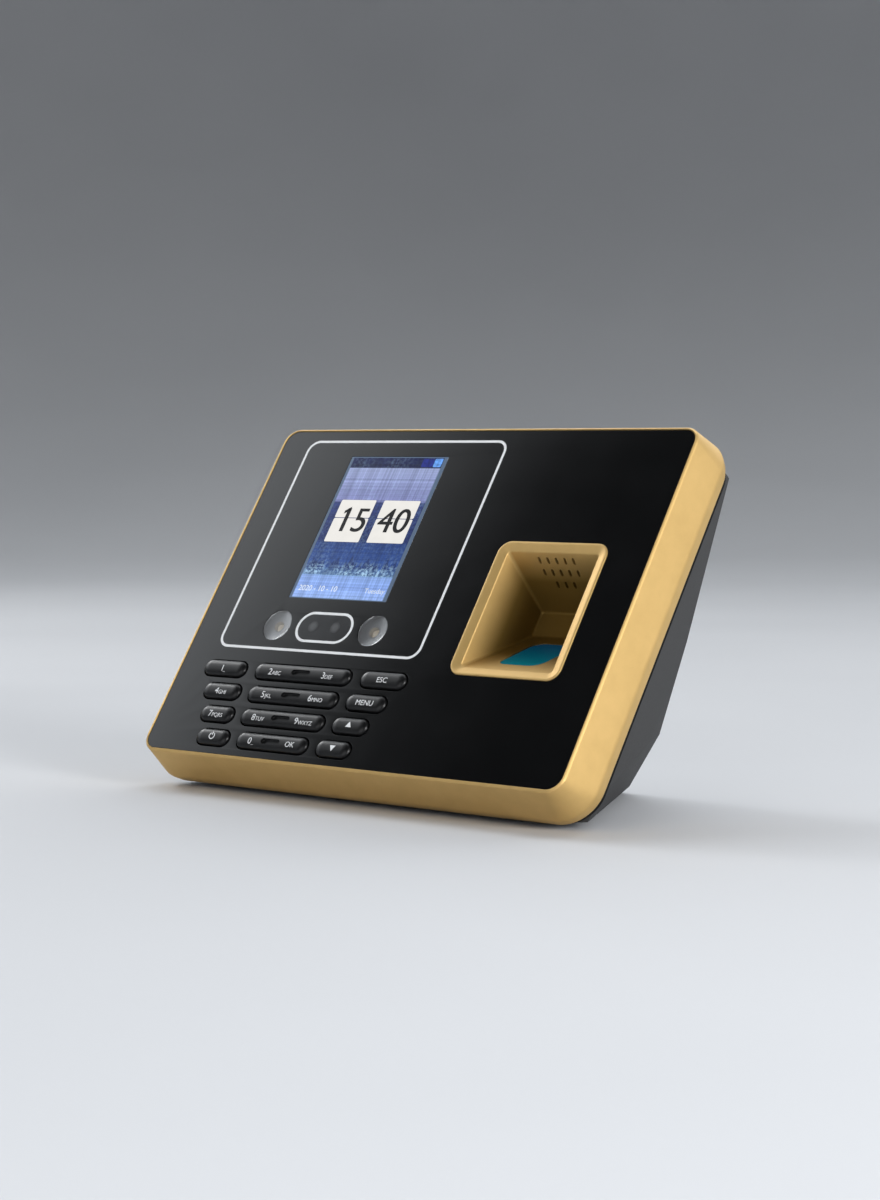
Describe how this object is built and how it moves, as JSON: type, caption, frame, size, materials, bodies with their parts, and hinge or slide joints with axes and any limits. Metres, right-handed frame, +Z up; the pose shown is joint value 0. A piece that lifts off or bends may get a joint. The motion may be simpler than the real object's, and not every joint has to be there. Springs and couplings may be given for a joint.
{
  "type": "fingerprint scanner terminal",
  "caption": "Wedge-shaped desk terminal: black glossy face with a display, face-camera window and keypad, gold housing, and a sloping finger well with an optical sensor.",
  "frame": {"origin": "middle of the box that holds the terminal, on the surface that its rubber feet stand on", "axes": "+X to the right as a user sees the face, +Y from the user towards the rear wall, +Z up; the face leans back 34.6 degrees from vertical"},
  "size_m": [0.191, 0.096, 0.1261],
  "materials": {
    "gold_paint": "moulded plastic under satin champagne-gold metallic paint",
    "black_gloss": "polished piano black",
    "clear_window": "clear polished acrylic",
    "dark_window": "smoked infrared-passing acrylic",
    "teal_glass": "coated optical glass",
    "key_plastic": "semi-gloss with white legends",
    "grey_plastic": "fine spark-eroded texture",
    "black_matte": "plain moulded",
    "white_plastic": "plain moulded",
    "silicone": "translucent silicone",
    "black_rubber": "matt",
    "circuit_board": "green solder mask",
    "display_glass": "lit liquid-crystal cell",
    "reflector": "bright metallised cup",
    "aluminium_can": "plain",
    "ribbon": "polyimide film",
    "steel": "plated",
    "dark_steel": "black zinc plated",
    "brass": "plain",
    "silver_label": "blank foil label"
  },
  "bodies": {
    "case": {"front_housing": "gold_paint", "front_panel": "black_gloss", "display_window": "clear_window", "camera_window": "dark_window", "lamp_window_left": "dark_window", "lamp_window_right": "dark_window", "finger_well": "gold_paint", "sensor_glass": "teal_glass", "sensor_module": "black_matte", "sensor_board": "circuit_board", "speaker_frame": "steel", "speaker_cone": "black_matte", "keypad_membrane": "silicone", "keypad_board": "circuit_board", "lcd_panel": "display_glass", "lcd_backlight": "white_plastic", "camera_lens_left": "black_matte", "camera_lens_right": "black_matte", "lamp_reflector_left": "reflector", "lamp_reflector_right": "reflector", "lamp_leds": "white_plastic", "camera_board": "circuit_board", "main_board": "circuit_board", "processor": "black_matte", "board_chips": "black_matte", "capacitors": "aluminium_can", "coin_cell": "steel", "ribbon_sockets": "white_plastic", "lcd_ribbon": "ribbon", "camera_ribbon": "ribbon", "keypad_ribbon": "ribbon", "port_board": "circuit_board", "port_lead": "black_matte", "dc_jack": "black_matte", "dc_jack_pin": "brass", "usb_shell": "steel", "usb_tongue": "white_plastic", "board_screws": "steel", "case_screws": "dark_steel", "gasket": "black_rubber", "rear_shell": "grey_plastic", "mount_inserts": "brass", "rubber_feet": "black_rubber", "rear_label": "silver_label"},
    "button_1": {"key_1": "key_plastic"},
    "rocker_2_3": {"key_2_3": "key_plastic"},
    "button_esc": {"key_esc": "key_plastic"},
    "button_4": {"key_4": "key_plastic"},
    "rocker_5_6": {"key_5_6": "key_plastic"},
    "button_menu": {"key_menu": "key_plastic"},
    "button_7": {"key_7": "key_plastic"},
    "rocker_8_9": {"key_8_9": "key_plastic"},
    "button_up": {"key_up": "key_plastic"},
    "button_power": {"key_power": "key_plastic"},
    "rocker_0_ok": {"key_0_ok": "key_plastic"},
    "button_down": {"key_down": "key_plastic"}
  },
  "joints": [
    {"name": "press_1", "type": "slide", "parent": "case", "child": "button_1", "axis": [0, 0.8231, -0.5678], "range_m": [0, 0.0007], "stiffness_N_per_m": 400, "springref_m": -0.0003},
    {"name": "rock_2_3", "type": "hinge", "parent": "case", "child": "rocker_2_3", "pos_m": [-0.0322, -0.02266, 0.03771], "axis": [0, 0.5678, 0.8231], "range_deg": [-1.6, 1.6], "stiffness_Nm_per_rad": 0.1},
    {"name": "press_esc", "type": "slide", "parent": "case", "child": "button_esc", "axis": [0, 0.8231, -0.5678], "range_m": [0, 0.0007], "stiffness_N_per_m": 400, "springref_m": -0.0003},
    {"name": "press_4", "type": "slide", "parent": "case", "child": "button_4", "axis": [0, 0.8231, -0.5678], "range_m": [0, 0.0007], "stiffness_N_per_m": 400, "springref_m": -0.0003},
    {"name": "rock_5_6", "type": "hinge", "parent": "case", "child": "rocker_5_6", "pos_m": [-0.0322, -0.02778, 0.03028], "axis": [0, 0.5678, 0.8231], "range_deg": [-1.6, 1.6], "stiffness_Nm_per_rad": 0.1},
    {"name": "press_menu", "type": "slide", "parent": "case", "child": "button_menu", "axis": [0, 0.8231, -0.5678], "range_m": [0, 0.0007], "stiffness_N_per_m": 400, "springref_m": -0.0003},
    {"name": "press_7", "type": "slide", "parent": "case", "child": "button_7", "axis": [0, 0.8231, -0.5678], "range_m": [0, 0.0007], "stiffness_N_per_m": 400, "springref_m": -0.0003},
    {"name": "rock_8_9", "type": "hinge", "parent": "case", "child": "rocker_8_9", "pos_m": [-0.0322, -0.03291, 0.02285], "axis": [0, 0.5678, 0.8231], "range_deg": [-1.6, 1.6], "stiffness_Nm_per_rad": 0.1},
    {"name": "press_up", "type": "slide", "parent": "case", "child": "button_up", "axis": [0, 0.8231, -0.5678], "range_m": [0, 0.0007], "stiffness_N_per_m": 400, "springref_m": -0.0003},
    {"name": "press_power", "type": "slide", "parent": "case", "child": "button_power", "axis": [0, 0.8231, -0.5678], "range_m": [0, 0.0007], "stiffness_N_per_m": 400, "springref_m": -0.0003},
    {"name": "rock_0_ok", "type": "hinge", "parent": "case", "child": "rocker_0_ok", "pos_m": [-0.0322, -0.03804, 0.01541], "axis": [0, 0.5678, 0.8231], "range_deg": [-1.6, 1.6], "stiffness_Nm_per_rad": 0.1},
    {"name": "press_down", "type": "slide", "parent": "case", "child": "button_down", "axis": [0, 0.8231, -0.5678], "range_m": [0, 0.0007], "stiffness_N_per_m": 400, "springref_m": -0.0003}
  ]
}
